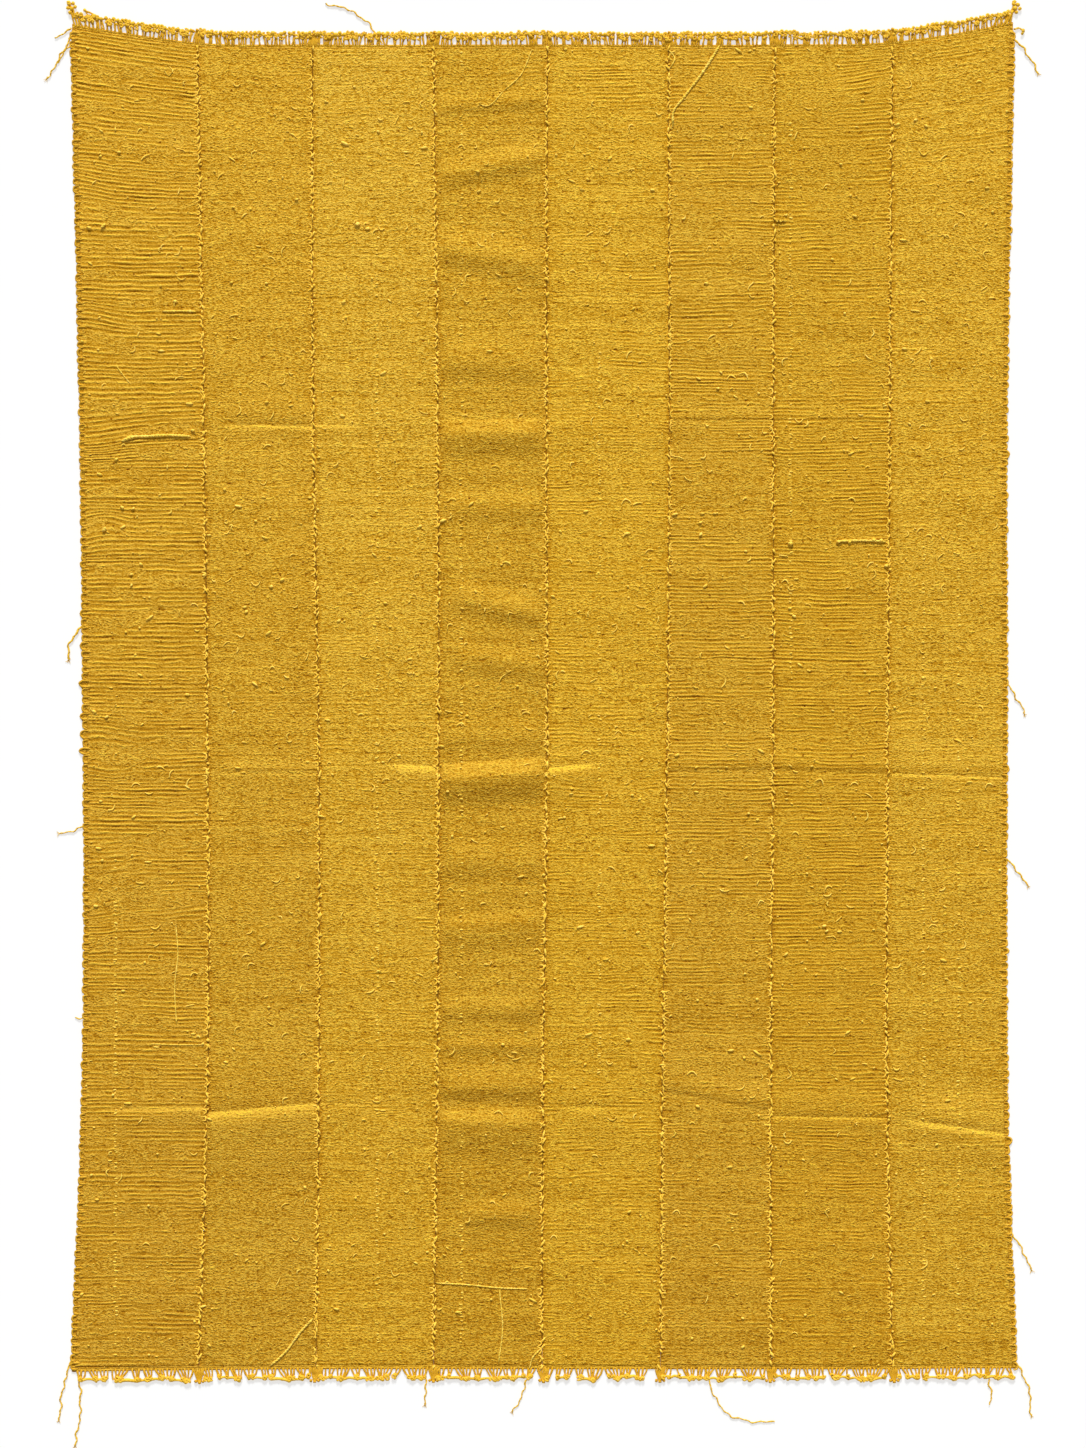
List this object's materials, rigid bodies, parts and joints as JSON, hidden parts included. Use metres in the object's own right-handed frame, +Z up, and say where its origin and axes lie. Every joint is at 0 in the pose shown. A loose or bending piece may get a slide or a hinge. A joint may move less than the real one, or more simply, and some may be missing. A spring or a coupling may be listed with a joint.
{
  "type": "hand-woven mud cloth blanket",
  "caption": "Large flat cloth of hand-woven cotton strips sewn side by side, with looped warp fringes at both ends and overcast sides; lies flat or is spread over furniture.",
  "frame": {"origin": "on the floor under the middle of the cloth's outline", "axes": "+Z up from the floor through the cloth, +Y along the strips to the top end, +X across the strips to the right"},
  "size_m": [1.1235, 1.6355, 0.01],
  "materials": {
    "strip_1": "ochre hand-woven cotton, coarse weft ribs",
    "strip_2": "ochre hand-woven cotton, fine",
    "strip_3": "light ochre hand-woven cotton, fine",
    "strip_4": "ochre hand-woven cotton, fine and puckered",
    "strip_5": "light ochre hand-woven cotton, weft ribs",
    "strip_6": "ochre hand-woven cotton, close weft ribs",
    "strip_7": "ochre hand-woven cotton, close weft ribs",
    "strip_8": "light ochre hand-woven cotton, fine",
    "fringe": "loose cotton yarn, warm ochre",
    "edging": "overcast cotton yarn, brown ochre"
  },
  "bodies": {
    "root": {"strip_1": "strip_1", "strip_2": "strip_2", "strip_3": "strip_3", "strip_4": "strip_4", "strip_5": "strip_5", "strip_6": "strip_6", "strip_7": "strip_7", "strip_8": "strip_8", "fringe_top_1": "fringe", "fringe_top_2": "fringe", "fringe_top_3": "fringe", "fringe_top_4": "fringe", "fringe_top_5": "fringe", "fringe_top_6": "fringe", "fringe_top_7": "fringe", "fringe_top_8": "fringe", "fringe_bottom_1": "fringe", "fringe_bottom_2": "fringe", "fringe_bottom_3": "fringe", "fringe_bottom_4": "fringe", "fringe_bottom_5": "fringe", "fringe_bottom_6": "fringe", "fringe_bottom_7": "fringe", "fringe_bottom_8": "fringe", "edging_left": "edging", "edging_right": "edging"}
  },
  "joints": []
}
